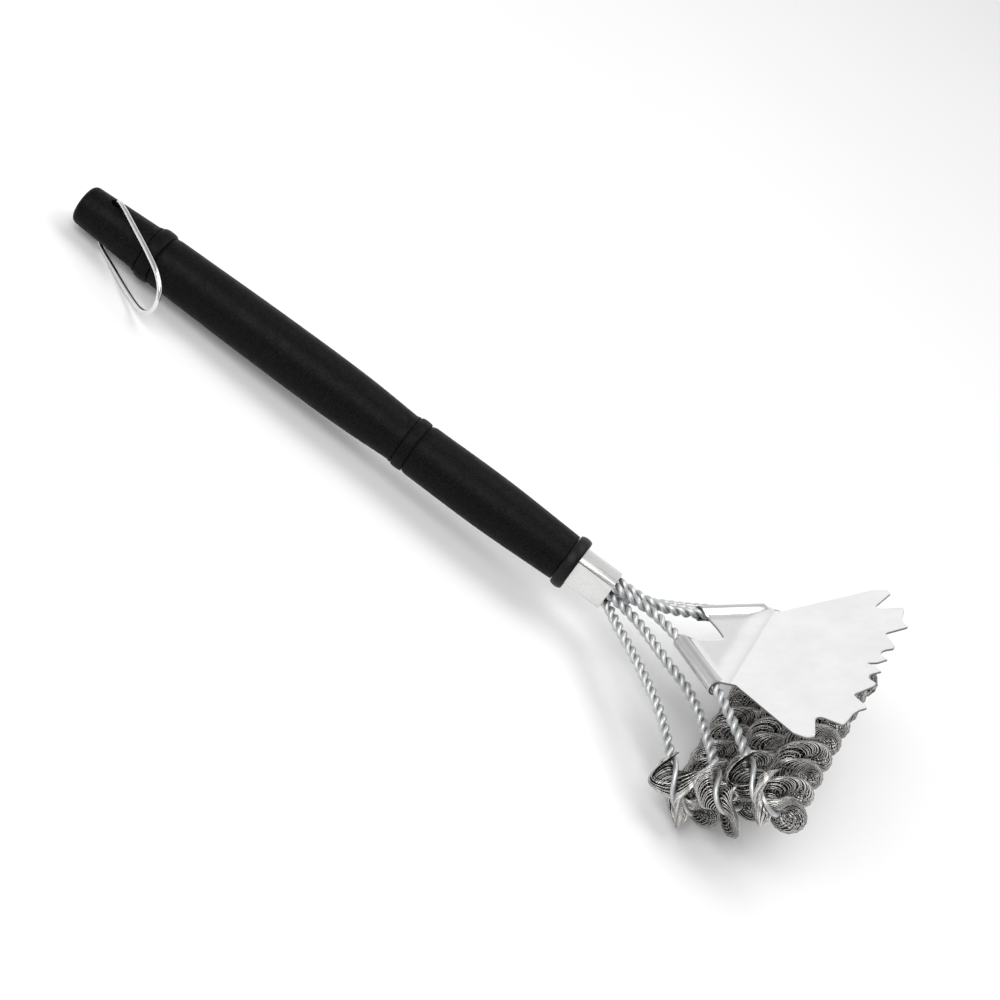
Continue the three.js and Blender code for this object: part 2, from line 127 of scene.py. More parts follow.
# How far the loops of a coil spread from its wires.
LOBE_SWELL = 0.24                   # share by which the loops sag wider, low and to the front
SAG = np.array([0.83, 0.0, -0.56])
BEND_SWELL = 0.46                   # and that much more towards the bends, between these places
BEND_SWELLS = (0.050, 0.061)
BEND_SETTLES = (0.074, 0.083)
FAR_SWELL = 0.14                    # and on the far side, from the first Y to the second
FAR_SIDE = (-0.04, 0.04)
BEND_ROOM = 0.8                     # share of a bend's radius that the loops inside it can take up
OUTSIDE_SLIP = 0.50                 # share by which the loops draw in on the outside of a bend
OUTSIDE_CURVES = (15.0, 75.0)       # fully at the second of these curvatures, in 1/m
COIL_OUTSIDE = 0.0890               # Y that no loop passes on either side
ARM_STRETCH = 0.02                  # the wire counts as an arm from this far before the coil's end
REACH_STEP = 0.0006                 # length of wire from one measured place to the next
REACH_MARGIN = 0.003                # and beyond the coil's ends
REACH_SHARES = np.linspace(0.25, 1.0, 16)    # of the full width, tried from the inside out
REACH_BACK = 0.06                   # share by which the loops stay back from what stops them
REACH_NARROWED = 3                  # places to each side among which the narrowest counts
REACH_SMOOTHED = 17                 # places over which the edge is then smoothed

# Painted light on the outer winding: where its colour is painted bright as highlight, and where it is painted
# dark as shade.
PAINTED_SHADE_CONTRAST = 3                 # how fast it turns from painted highlight on the ribbon's faces to painted shade at its core
RIM = (0.92, 0.99)                  # shares of the width at the ribbon's two rims
# painted brightness of the ribbon's rims, as light on the wires that bend round them
RIM_PAINTED_LIGHT = 0.57
LIGHTER_ENDS = (0.074, 0.090)         # where along the bail the painted shade gives way to brighter wire
# painted brightness towards the row's ends, where the painted shade is lifted
ENDS_PAINTED_LIGHT = 0.66

BAILS = {
    "rear": dict(
        row=(0.0900, -0.0237), row_end=0.086, exit_z=-0.0053, reach=0.107, phase=0.0,
        arm=[(0.012, 0.013, -0.0049), (0.0327, 0.032, -0.004), (0.0531, 0.0532, -0.004),
             (0.0731, 0.0733, -0.0115)],
    ),
    "middle": dict(
        row=(0.1060, -0.0099), row_end=0.091, exit_z=0.0, reach=0.100, phase=math.pi / 2,
        arm=[(0.0179, 0.0088, 0.0012), (0.0396, 0.0244, 0.0036), (0.0613, 0.0371, 0.0032),
             (0.0855, 0.0619, -0.0012)],
    ),
    "front": dict(
        row=(0.1209, 0.0048), row_end=0.088, exit_z=0.0053, reach=0.106, phase=0.0,
        arm=[(0.022, 0.0036, 0.0069), (0.0415, 0.0145, 0.0106), (0.0542, 0.0272, 0.0142),
             (0.067, 0.040, 0.0178), (0.096, 0.063, 0.013)],
    ),
}

SHEET_THICKNESS = 0.0009
SHEET_BEND = 0.0012                 # length of sheet taken up by the bend
SHEET_BEVEL = 0.00013
SHEET_STEP, BEND_STEP = 0.0016, 0.0011    # between the points of the sheet's mesh
ROLL_ROWS = np.linspace(-0.45, 0.98, 34)  # and their rows, as shares of the strip that is rolled up
ROLL_COLUMNS = 29
BLANK_HALF_WIDTH = 0.076
OUTLINE_MARGIN = 0.0005             # no point of the mesh lies nearer to the outline
ROLL_INSIDE = 0.00315
ROLL_OUTER_ANGLE = math.radians(190)
ROLL_FLANK = 0.0032                 # the slope between a roll and the plate has the roll's sheet, painted darker as shade
FLANK_TURN = math.pi / 3.2          # the angle at which a roll's curve ends on that slope
DISH = 0.0021                       # depth of the plate below the rolls' tops
DISH_SETTLES = (0.0028, 0.0075)     # how far inward of the rolls it reaches that depth
DISH_CLOSES = (-0.011, -0.0005)     # from the bend line, where it flattens out again
BEND_X = 0.0723
BEND_WIDTH = 0.038
NOTCH_X = 0.0578
NOTCH_PULL = (0.0515, 0.0085)       # X and Y of the point that bows the rear notch's sides
NOTCH_TIP = 0.0008                  # half its width where it ends
BLADE_TILT = math.radians(33.2)

LOOP_WIRE = 0.00125
LOOP_SIDES = 20
LOOP_LENGTH = 0.0612
LOOP_LEG_Z = 0.0133
LOOP_SWING = math.radians(-35)

CAMERA_AT = (-0.00247, -1.06093, 0.70289)    # fitted to the photo, in the handle's frame
CAMERA_TARGET = (-0.0698, 0.0, 0.00454)
CAMERA_ROLL = math.radians(-34.43)
CAMERA_LENS = 93.64                 # millimetres, on a sensor 36 mm wide
FLOOR_HALF = 6.0
SEED = 7

# ---------------------------------------------------------------- the handle's frame

swing = frame["joints"][0]
UP = Vector(swing["axis"]).normalized()
FORWARD = Vector((UP.z, 0.0, -UP.x))
ORIGIN = Vector(swing["pos_m"]) - FORWARD * CROSS_HOLE_X
AXES = np.array([FORWARD, (0.0, 1.0, 0.0), UP])


def place(points):
    """Points of the handle's frame, in the row frame."""
    return np.asarray(points, float) @ AXES + np.array(ORIGIN)


# ---------------------------------------------------------------- helpers

def smoothstep(x, low, high):
    t = np.clip((np.asarray(x, float) - low) / (high - low), 0.0, 1.0)
    return t * t * (3.0 - 2.0 * t)


def unit(vectors):
    return vectors / np.linalg.norm(vectors, axis=-1, keepdims=True)


def catmull_rom(points, per_segment):
    """Points along the centripetal Catmull-Rom curve through a list of points."""
    p = np.asarray(points, float)
    p = np.vstack([2 * p[0] - p[1], p, 2 * p[-1] - p[-2]])
    out = []
    u = np.linspace(0.0, 1.0, per_segment, endpoint=False)[:, None]
    for a, b, c, d in zip(p[:-3], p[1:-2], p[2:-1], p[3:]):
        da, db, dc = (math.sqrt(np.linalg.norm(v)) for v in (b - a, c - b, d - c))
        start = ((b - a) / da - (c - a) / (da + db) + (c - b) / db) * db
        stop = ((c - b) / db - (d - b) / (db + dc) + (d - c) / dc) * db
        out.append(b + start * u + (3 * (c - b) - 2 * start - stop) * u ** 2
                   + (2 * (b - c) + start + stop) * u ** 3)
    return np.vstack(out + [p[-2:-1]])


def new_piece(name, verts, faces, look, sharp_degrees=35.0):
    """A mesh object with smooth shading, sharp where faces meet at more than an angle."""
    mesh = bpy.data.meshes.new(name)
    mesh.from_pydata(np.asarray(verts).tolist(), [], faces)
    mesh.validate()
    mesh.materials.append(look)
    piece = bpy.data.objects.new(name, mesh)
    bpy.context.scene.collection.objects.link(piece)
    finish_shading(piece, sharp_degrees)
    return piece


def finish_shading(piece, sharp_degrees=35.0):
    """Turns every face outwards and sets the shading."""
    mesh = piece.data
    edit = bmesh.new()
    edit.from_mesh(mesh)
    bmesh.ops.recalc_face_normals(edit, faces=edit.faces)
    edit.to_mesh(mesh)
    edit.free()
    mesh.shade_smooth()
    mesh.set_sharp_from_angle(angle=math.radians(sharp_degrees))


def apply_modifiers(piece):
    """Leaves the piece with its evaluated mesh and no modifiers."""
    graph = bpy.context.evaluated_depsgraph_get()
    done = bpy.data.meshes.new_from_object(piece.evaluated_get(graph))
    piece.modifiers.clear()
    piece.data = done
    done.name = piece.name


def declare(piece, body, node):
    """Says which body the piece moves with and the CAD node that it replaces."""
    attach(piece, body)
    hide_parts(node)


def lathe(profile, sides):
    """Vertices and faces of (x, radius) points turned about the X axis; radius 0 closes an end."""
    verts, rings = [], []
    angles = np.linspace(0, 2 * math.pi, sides, endpoint=False)
    for x, r in profile:
        if r <= 0:
            rings.append([len(verts)] * sides)
            verts.append((x, 0.0, 0.0))
        else:
            rings.append(list(range(len(verts), len(verts) + sides)))
            verts.extend((x, r * math.cos(a), r * math.sin(a)) for a in angles)
    faces = []
    for ring, following in zip(rings[:-1], rings[1:]):
        for i in range(sides):
            j = (i + 1) % sides
            face = [ring[i], ring[j], following[j], following[i]]
            face = list(dict.fromkeys(face))
            if len(face) > 2:
                faces.append(face)
    return np.array(verts), faces


def tube(path, reference, radius, sides):
    """Vertices and faces of a round wire along a path, with both ends closed by shallow domes."""
    path = np.asarray(path, float)
    tangent = unit(np.gradient(path, axis=0))
    first = unit(reference - np.sum(reference * tangent, 1, keepdims=True) * tangent)
    second = np.cross(tangent, first)
    angles = np.linspace(0, 2 * math.pi, sides, endpoint=False)
    ring = (first[:, None] * np.cos(angles)[None, :, None]
            + second[:, None] * np.sin(angles)[None, :, None])
    verts = (path[:, None] + radius * ring).reshape(-1, 3)
    n = len(path)
    dome = 0.35 * radius
    i, j = np.meshgrid(np.arange(n - 1), np.arange(sides), indexing="ij")
    k = (j + 1) % sides
    quads = np.stack([i * sides + j, i * sides + k, (i + 1) * sides + k, (i + 1) * sides + j], -1)
    faces = quads.reshape(-1, 4).tolist()
    for end, outward in ((0, -1), (n - 1, 1)):
        tip = path[end] + outward * dome * tangent[end]
        verts = np.vstack([verts, tip])
        faces += [[end * sides + a, end * sides + (a + 1) % sides, len(verts) - 1] for a in range(sides)]
    return verts, faces


# ---------------------------------------------------------------- materials

def material(name, color, metallic, roughness, **sockets):
    """A Principled material, with its node tree, its shader and the object's own coordinates."""
    m = bpy.data.materials.new(name)
    m.use_nodes = True
    tree = m.node_tree
    shader = tree.nodes["Principled BSDF"]
    shader.inputs["Base Color"].default_value = (*color, 1.0)
    shader.inputs["Metallic"].default_value = metallic
    shader.inputs["Roughness"].default_value = roughness
    for socket, value in sockets.items():
        shader.inputs[socket.replace("_", " ")].default_value = value
    where = tree.nodes.new("ShaderNodeTexCoord")
    return m, tree, shader, where.outputs["Object"]


def stretched(tree, at, scale):
    mapping = tree.nodes.new("ShaderNodeMapping")
    mapping.inputs["Scale"].default_value = scale
    tree.links.new(at, mapping.inputs["Vector"])
    return mapping.outputs["Vector"]


def noise(tree, vector, scale, detail, roughness):
    node = tree.nodes.new("ShaderNodeTexNoise")
    node.inputs["Scale"].default_value = scale
    node.inputs["Detail"].default_value = detail
    node.inputs["Roughness"].default_value = roughness
    tree.links.new(vector, node.inputs["Vector"])
    return node.outputs["Fac"]


def ramp(tree, fac, stops):
    """A colour ramp; each stop is (position, grey level or colour)."""
    node = tree.nodes.new("ShaderNodeValToRGB")
    elements = node.color_ramp.elements
    while len(elements) < len(stops):
        elements.new(0.5)
    for element, (position, value) in zip(elements, stops):
        element.position = position
        color = (value,) * 3 if isinstance(value, float) else value
        element.color = (*color, 1.0)
    tree.links.new(fac, node.inputs["Fac"])
    return node.outputs["Color"]


def vary(tree, shader, socket, fac, *stops):
    """Makes a socket of the shader follow a colour ramp over a texture."""
    tree.links.new(ramp(tree, fac, stops), shader.inputs[socket])


def bump(tree, shader, height, distance, strength, over=None):
    """Bumps the shader's normal, on top of another bump if there is one."""
    node = tree.nodes.new("ShaderNodeBump")
    node.inputs["Distance"].default_value = distance
    node.inputs["Strength"].default_value = strength
    tree.links.new(height, node.inputs["Height"])
    if over is not None:
        tree.links.new(over, node.inputs["Normal"])
    tree.links.new(node.outputs["Normal"], shader.inputs["Normal"])
    return node.outputs["Normal"]


def handle_plastic():
    """Black polypropylene with a fine spark-eroded stipple."""
    m, tree, shader, at = material("handle_plastic", (0.004, 0.004, 0.005), 0.0, 0.5,
                                   Specular_IOR_Level=0.08)
    grain = noise(tree, at, 1500.0, 2.0, 0.6)
    patches = noise(tree, at, 240.0, 3.0, 0.5)
    vary(tree, shader, "Base Color", grain, (0.40, (0.0002, 0.0002, 0.0003)), (0.68, (0.008, 0.008, 0.009)))
    vary(tree, shader, "Roughness", patches, (0.3, 0.38), (0.7, 0.54))
    under = bump(tree, shader, patches, 0.00012, 0.5)
    bump(tree, shader, grain, 0.00012, 0.85, over=under)
    return m


def cap_plastic():
    """The same black plastic, smoother."""
    m, tree, shader, at = material("cap_plastic", (0.005, 0.005, 0.006), 0.0, 0.42,
                                   Specular_IOR_Level=0.18)
    grain = noise(tree, at, 900.0, 3.0, 0.6)
    vary(tree, shader, "Base Color", grain, (0.3, (0.001, 0.001, 0.0012)), (0.75, (0.009, 0.009, 0.010)))
    vary(tree, shader, "Roughness", grain, (0.3, 0.34), (0.7, 0.50))
    bump(tree, shader, grain, 0.0001, 0.5)
    return m


def sheet_steel(name, color, low, high, stretch, scuffs, grain_depth):
    """Rolled stainless sheet: fine grain lines along one direction, and soft smudges. Its roughness
    runs from low to high."""
    m, tree, shader, at = material(name, color, 1.0, (low + high) / 2)
    lines = noise(tree, stretched(tree, at, stretch), 1.0, 4.0, 0.65)
    smudges = noise(tree, at, 45.0, 4.0, 0.6)
    total = tree.nodes.new("ShaderNodeMath")
    total.operation = "ADD"
    weighted = tree.nodes.new("ShaderNodeMath")
    weighted.operation = "MULTIPLY"
    weighted.inputs[1].default_value = scuffs
    tree.links.new(smudges, weighted.inputs[0])
    tree.links.new(lines, total.inputs[0])
    tree.links.new(weighted.outputs[0], total.inputs[1])
    vary(tree, shader, "Roughness", total.outputs[0], (0.35, low), (0.35 + 0.5 * (1 + scuffs) / 1.5, high))
    darker = tuple(0.93 * c for c in color)
    vary(tree, shader, "Base Color", smudges, (0.35, color), (0.75, darker))
    bump(tree, shader, lines, grain_depth, 0.35)
    return m


def ferrule_sheet():
    return sheet_steel("ferrule_sheet", (0.74, 0.735, 0.725), 0.16, 0.34, (60.0, 900.0, 900.0), 0.4, 0.000006)


def scraper_sheet():
    return sheet_steel("scraper_sheet", (0.86, 0.86, 0.86), 0.12, 0.26, (70.0, 700.0, 700.0), 0.6, 0.00001)


def shaded_roll_sheet():
    """The scraper's sheet on the rolls and their flanks, painted darker as the shade on their sides."""
    return sheet_steel("shaded_roll_sheet", (0.60, 0.60, 0.597), 0.20, 0.34, (70.0, 700.0, 700.0), 0.6, 0.00001)


def painted_dark_edge():
    """The cut edge of the sheet: torn and dull, its colour painted dark as the dark reflection that the
    narrow edges show.
    """
    m, tree, shader, at = material("painted_dark_edge", (0.22, 0.22, 0.22), 1.0, 0.5)
    tears = noise(tree, at, 2500.0, 3.0, 0.6)
    vary(tree, shader, "Base Color", tears, (0.3, 0.15), (0.7, 0.32))
    vary(tree, shader, "Roughness", tears, (0.3, 0.42), (0.7, 0.62))
    bump(tree, shader, tears, 0.00005, 0.5)
    return m


def bail_wire():
    """Galvanised wire: satin, with slightly blotched zinc and drawing marks."""
    m, tree, shader, at = material("bail_wire", (0.54, 0.55, 0.555), 1.0, 0.44)
    blotches = noise(tree, at, 320.0, 3.0, 0.55)
    marks = noise(tree, at, 1800.0, 2.0, 0.6)
    vary(tree, shader, "Base Color", blotches, (0.3, (0.49, 0.50, 0.505)), (0.7, (0.65, 0.658, 0.66)))
    vary(tree, shader, "Roughness", blotches, (0.3, 0.52), (0.7, 0.42))
    bump(tree, shader, marks, 0.00003, 0.3)
    return m


def coil_wire():
    """Fine stainless wire: painted bright as highlight where it faces out of the coil, and painted dark as
    shade on its inside.
    """
    m, tree, shader, at = material("coil_wire", (0.40, 0.38, 0.36), 1.0, 0.28)
    tarnish = noise(tree, at, 110.0, 3.0, 0.6)
    marks = noise(tree, at, 1400.0, 2.0, 0.6)
    # A mesh attribute of painted light: 1 where the wire is painted as lit, 0 where it is painted as shade.
    painted_light = tree.nodes.new("ShaderNodeAttribute")
    painted_light.attribute_name = "painted_light"
    # Painted shade: the colour falls to near black where the attribute is low.
    painted_shade = ramp(tree, painted_light.outputs["Fac"], [(0.42, (0.010, 0.009, 0.008)), (0.86, 1.0)])
    metal = ramp(tree, tarnish, [(0.3, (0.70, 0.675, 0.645)), (0.7, (0.93, 0.915, 0.89))])
    product = tree.nodes.new("ShaderNodeVectorMath")
    product.operation = "MULTIPLY"
    tree.links.new(painted_shade, product.inputs[0])
    tree.links.new(metal, product.inputs[1])
    tree.links.new(product.outputs["Vector"], shader.inputs["Base Color"])
    vary(tree, shader, "Roughness", marks, (0.3, 0.20), (0.7, 0.32))
    return m


def loop_wire():
    """Bright drawn wire."""
    m, tree, shader, at = material("loop_wire", (0.78, 0.78, 0.78), 1.0, 0.16)
    marks = noise(tree, at, 700.0, 3.0, 0.6)
    vary(tree, shader, "Roughness", marks, (0.3, 0.12), (0.7, 0.24))
    vary(tree, shader, "Base Color", marks, (0.3, 0.72), (0.7, (0.82, 0.82, 0.815)))
    bump(tree, shader, marks, 0.00003, 0.25)
    return m


def floor_paper():
    m, tree, shader, at = material("floor_paper", (0.86, 0.86, 0.86), 0.0, 0.9)
    tone = noise(tree, at, 3.0, 2.0, 0.5)
    vary(tree, shader, "Base Color", tone, (0.3, 0.85), (0.7, 0.87))
    return m


# ---------------------------------------------------------------- handle and cap

def barrel_points(stations, count):
    """Evenly spaced points of the smooth profile through a barrel's stations."""
    curve = catmull_rom([(x, r, 0.0) for x, r in stations], per_segment=24)
    x = np.linspace(stations[0][0], stations[-1][0], count)
    r = np.interp(-x, -curve[:, 0], curve[:, 1])
    return list(zip(x, r))


def ring_points(x, width, crest, root):
    """A half-round ring with a narrow groove at each side."""
    half = width / 2
    front = [(x + half + out, root + up) for out, up in RING_GROOVE]
    bulge = [(x + half * math.cos(a), root + (crest - root) * math.sin(a) ** RING_FULLNESS)
             for a in np.radians(np.linspace(8, 172, 19))]
    back = [(2 * x - px, pr) for px, pr in reversed(front)]
    return front + bulge + back


def rounded_end(x, radius, corner):
    """A flat end with a rounded edge, as far as a ring near its middle."""
    edge = [(x + corner - corner * math.sin(a), radius - corner + corner * math.cos(a))
            for a in np.radians(np.linspace(0, 90, 10))]
    return edge + [(x, share * (radius - corner)) for share in (0.6, 0.3)]


def build_handle(look):
    profile = (
        [(HANDLE_FRONT, BORE_RADIUS), (HANDLE_FRONT, SHOULDER - EDGE), (HANDLE_FRONT - EDGE, SHOULDER)]
        + barrel_points(BARREL_FRONT, 40)
        + ring_points(**RING_FRONT)
        + barrel_points(BARREL_MIDDLE, 60)
        + ring_points(**RING_REAR)
        + barrel_points(BARREL_REAR, 16)
        + rounded_end(HANDLE_END, BARREL_REAR[-1][1], END_ROUND)
        + [(HANDLE_END, 0.0)]
    )
    bore = [(HANDLE_FRONT - BORE_DEPTH, 0.0), (HANDLE_FRONT - BORE_DEPTH, BORE_TIP),
            (HANDLE_FRONT - BORE_NARROWS, BORE_RADIUS)]
    verts, faces = lathe(bore + profile, HANDLE_SIDES)
    piece = new_piece("grip", verts, faces, look)
    cut_away(piece, *hole_cutter(), look)
    to_row(piece)
    finish_shading(piece)
    declare(piece, "brush", "handle_shell")


def hole_cutter():
    """A cross hole with a small countersink at both mouths. The cutter reaches past it."""
    half = 0.016
    side = [(half, 0.0), (half, COUNTERSINK_RADIUS), (COUNTERSINK_FROM, CROSS_HOLE_RADIUS)]
    verts, faces = lathe([(-x, r) for x, r in side] + side[::-1], HOLE_SIDES)
    turned = np.stack([verts[:, 1] + CROSS_HOLE_X, verts[:, 2], verts[:, 0]], 1)
    return turned, faces


def cut_away(piece, verts, faces, look):
    """Takes the shape of a cutter out of the piece."""
    cutter = new_piece("cutter", verts, faces, look)
    cut = piece.modifiers.new("cut", "BOOLEAN")
    cut.operation = "DIFFERENCE"
    cut.solver = "EXACT"
    cut.object = cutter
    apply_modifiers(piece)
    bpy.data.objects.remove(cutter)


def to_row(piece):
    """Lays a piece made in the handle's frame down in the row frame."""
    co = np.zeros(len(piece.data.vertices) * 3, np.float32)
    piece.data.vertices.foreach_get("co", co)
    piece.data.vertices.foreach_set("co", place(co.reshape(-1, 3)).astype(np.float32).ravel())
    piece.data.update()


def build_cap(look):
    """The front bead: rounded rim, slightly dished face, and a slot that the ferrule passes through."""
    back = HANDLE_FRONT + GAP
    middle, half = (CAP_FRONT + back) / 2, (CAP_FRONT - back) / 2
    swell = BEAD_RADIUS - FACE_RADIUS
    rim = [(middle - half * math.cos(a), FACE_RADIUS + swell * math.sin(a) ** BEAD_FULLNESS)
           for a in np.radians(np.linspace(4, 176, 25))]
    profile = (
        [(HANDLE_FRONT - SPIGOT_LENGTH, 0.0), (HANDLE_FRONT - SPIGOT_LENGTH, BORE_RADIUS - GAP),
         (back, BORE_RADIUS - GAP), (back, FACE_RADIUS - EDGE)]
        + rim
        + [(CAP_FRONT, FACE_RADIUS - 2 * EDGE), (CAP_FRONT - EDGE, FACE_RADIUS - FACE_RIM),
           (CAP_FRONT - EDGE, 0.0)]
    )
    verts, faces = lathe(profile, CAP_SIDES)
    piece = new_piece("front_bead", verts, faces, look)
    slot = rounded_rect(FERRULE_WIDTH + 2 * GAP, FERRULE_HEIGHT + 2 * GAP, SLOT_CORNER, 6)
    cut_away(piece, *extrude_x(slot, HANDLE_FRONT - 2 * SPIGOT_LENGTH, 0.0), look)
    to_row(piece)
    finish_shading(piece)
    declare(piece, "brush", "handle_front_cap")


def rounded_rect(width, height, corner, steps):
    points = []
    for k, (sy, sz) in enumerate([(1, 1), (-1, 1), (-1, -1), (1, -1)]):
        for a in np.radians(np.linspace(0, 90, steps)) + k * math.pi / 2:
            points.append((sy * (width / 2 - corner) + corner * math.cos(a),
                           sz * (height / 2 - corner) + corner * math.sin(a)))
    return points


def extrude_x(outline, start, stop):
    n = len(outline)
    verts = [(start, y, z) for y, z in outline] + [(stop, y, z) for y, z in outline]
    faces = [list(range(n)), list(range(2 * n - 1, n - 1, -1))]
    faces += [[i, (i + 1) % n, n + (i + 1) % n, n + i] for i in range(n)]
    return np.array(verts), faces


# ---------------------------------------------------------------- ferrule

def build_ferrule(look):
    """One sheet folded round into a sleeve. From its first edge it runs down the near side, under, up
    the far side and over the top, and its rounded lip ends on the near side above the first edge."""
    w, h = FERRULE_WIDTH / 2, FERRULE_HEIGHT / 2
    sharp, lip = FERRULE_CORNER, FERRULE_LIP
    outside = [(-w, h - lip - FERRULE_SEAM)]
    outside += arc((-w + sharp, -h + sharp), sharp, 180, 270, 6)
    outside += arc((w - sharp, -h + sharp), sharp, 270, 360, 6)
    outside += arc((w - sharp, h - sharp), sharp, 0, 90, 6)
    outside += [(y, h + FERRULE_CROWN * (1 - (y / w) ** 2))
                for y in np.linspace(w - 2 * sharp, -w + lip + sharp, 9)]
    outside += arc((-w + lip, h - lip), lip, 90, 180, 8)
    points = np.array(outside)
    direction = unit(np.gradient(points, axis=0))
    inward = np.stack([-direction[:, 1], direction[:, 0]], 1)
    inside = points + FERRULE_SHEET * inward
    ring = np.vstack([points, inside[::-1]])
    verts, faces = extrude_x(ring, CAP_FRONT - FERRULE_TANG, 0.0)
    piece = new_piece("ferrule", verts, faces, look)
    round_edges(piece, FERRULE_BEVEL)
    to_row(piece)
    finish_shading(piece, 28.0)
    declare(piece, "brush", "ferrule_sleeve")


def arc(centre, radius, start, stop, steps):
    return [(centre[0] + radius * math.cos(a), centre[1] + radius * math.sin(a))
            for a in np.radians(np.linspace(start, stop, steps))]


def round_edges(piece, width, degrees=40.0):
    """Bevels the edges where faces meet at more than an angle."""
    bevel = piece.modifiers.new("edges", "BEVEL")
    bevel.width = width
    bevel.segments = 2
    bevel.limit_method = "ANGLE"
    bevel.angle_limit = math.radians(degrees)
    bevel.harden_normals = False
    apply_modifiers(piece)


# ---------------------------------------------------------------- bails of twisted wire

def fillet(start, corner, stop, radius, steps):
    """Points round a circular bend that replaces the corner between two legs."""
    a, b = unit(start - corner), unit(stop - corner)
    half = math.acos(float(np.dot(a, b))) / 2
    middle = corner + unit(a + b) * radius / math.sin(half)
    first = unit(corner + a * radius / math.tan(half) - middle)
    other = corner + b * radius / math.tan(half) - middle
    second = unit(other - np.dot(other, first) * first)
    sweep = (math.pi - 2 * half) * np.linspace(0, 1, steps + 1)[:, None]
    return middle + radius * (np.cos(sweep) * first + np.sin(sweep) * second)


class Bail:
    """The centreline of one bail and its twist, against the distance s from the row's middle."""

    def __init__(self, row, row_end, exit_z, reach, phase, arm):
        x, z = row
        corner = np.array([x, -row_end, z])
        legs = [np.array([ax, -ay, az]) for ax, ay, az in arm]
        half = ([np.array([mx, -EXIT_Y, exit_z]) for mx in (-TANG, *MOUTH_ENDS)] + legs
                + list(fillet(legs[-1], corner, np.array([x, 0.0, z]), BEND_RADIUS, steps=6))
                + [np.array([x, -share * row_end, z]) for share in ROW_HOLDS])
        mirrored = [p * np.array([1, -1, 1]) for p in reversed(half)]
        self.path = catmull_rom(half + mirrored, per_segment=40)
        steps = np.linalg.norm(np.diff(self.path, axis=0), axis=1)
        self.at = np.concatenate([[0.0], np.cumsum(steps)])
        self.length = self.at[-1]
        self.at -= self.length / 2
        self.phase = phase
        self.reach = reach
        self.mouth = self.length / 2 - TANG
        # The twist is rounded so that the two strands lie side by side at the ferrule's mouth.
        quarter = 0.25 if phase == 0 else 0.0
        self.coil_turns = reach / ROW_PITCH
        wanted = self.coil_turns + (self.mouth - reach) / ARM_PITCH
        self.mouth_turns = quarter + math.floor(2 * (wanted - quarter) + 0.5) / 2

    def turns(self, s):
        """Turns of the two strands round each other, from the row's middle to s."""
        distance = np.abs(s)
        arm = (self.mouth_turns - self.coil_turns) / (self.mouth - self.reach)
        knots = [0.0, self.reach, self.mouth, self.length]
        values = [0.0, self.coil_turns, self.mouth_turns, self.mouth_turns]
        exact = np.interp(distance, knots, values)
        near = np.clip(1 - np.abs(distance - self.reach) / TWIST_EASE, 0, 1)
        eased = exact + (arm - 1 / ROW_PITCH) * TWIST_EASE / 4 * near ** 2
        return np.sign(s) * eased

    def points(self, s):
        return np.stack([np.interp(s, self.at, self.path[:, k]) for k in range(3)], 1)

    def frames(self, s):
        """Centre, tangent, direction from one strand to the other, and across the ribbon."""
        step = 0.0004
        tangent = unit(self.points(s + step) - self.points(s - step))
        up = np.array([0.0, 0.0, 1.0])
        normal = unit(up - tangent * tangent[:, 2:3])
        side = np.cross(tangent, normal)
        twist = (2 * math.pi * self.turns(s) + self.phase)[:, None]
        along = normal * np.cos(twist) + side * np.sin(twist)
        across = np.cross(along, tangent)
        return self.points(s), tangent, along, across

    def offset(self, s):
        """Distance of each strand from the centreline."""
        pinch = 1 - smoothstep(np.abs(s) - self.reach, *STRAND_RELEASE)
        return ARM_OFFSET + (ROW_OFFSET - ARM_OFFSET) * pinch


def build_strands(key, bail, look):
    row = np.arange(-bail.reach, bail.reach, ROW_STEP)
    arm = np.arange(bail.reach, bail.length / 2, ARM_STEP)
    s = np.concatenate([-arm[::-1], row[1:], arm])
    centre, _, along, _ = bail.frames(s)
    offset = bail.offset(s)[:, None]
    for sign, letter in ((1, "a"), (-1, "b")):
        verts, faces = tube(centre + sign * offset * along, along, WIRE_RADIUS, STRAND_SIDES)
        piece = new_piece(f"{key}_strand_{letter}", place(verts), faces, look, 60.0)
        declare(piece, "brush", f"{key}_bail_strand_{letter}")


# ---------------------------------------------------------------- scrubbing coils

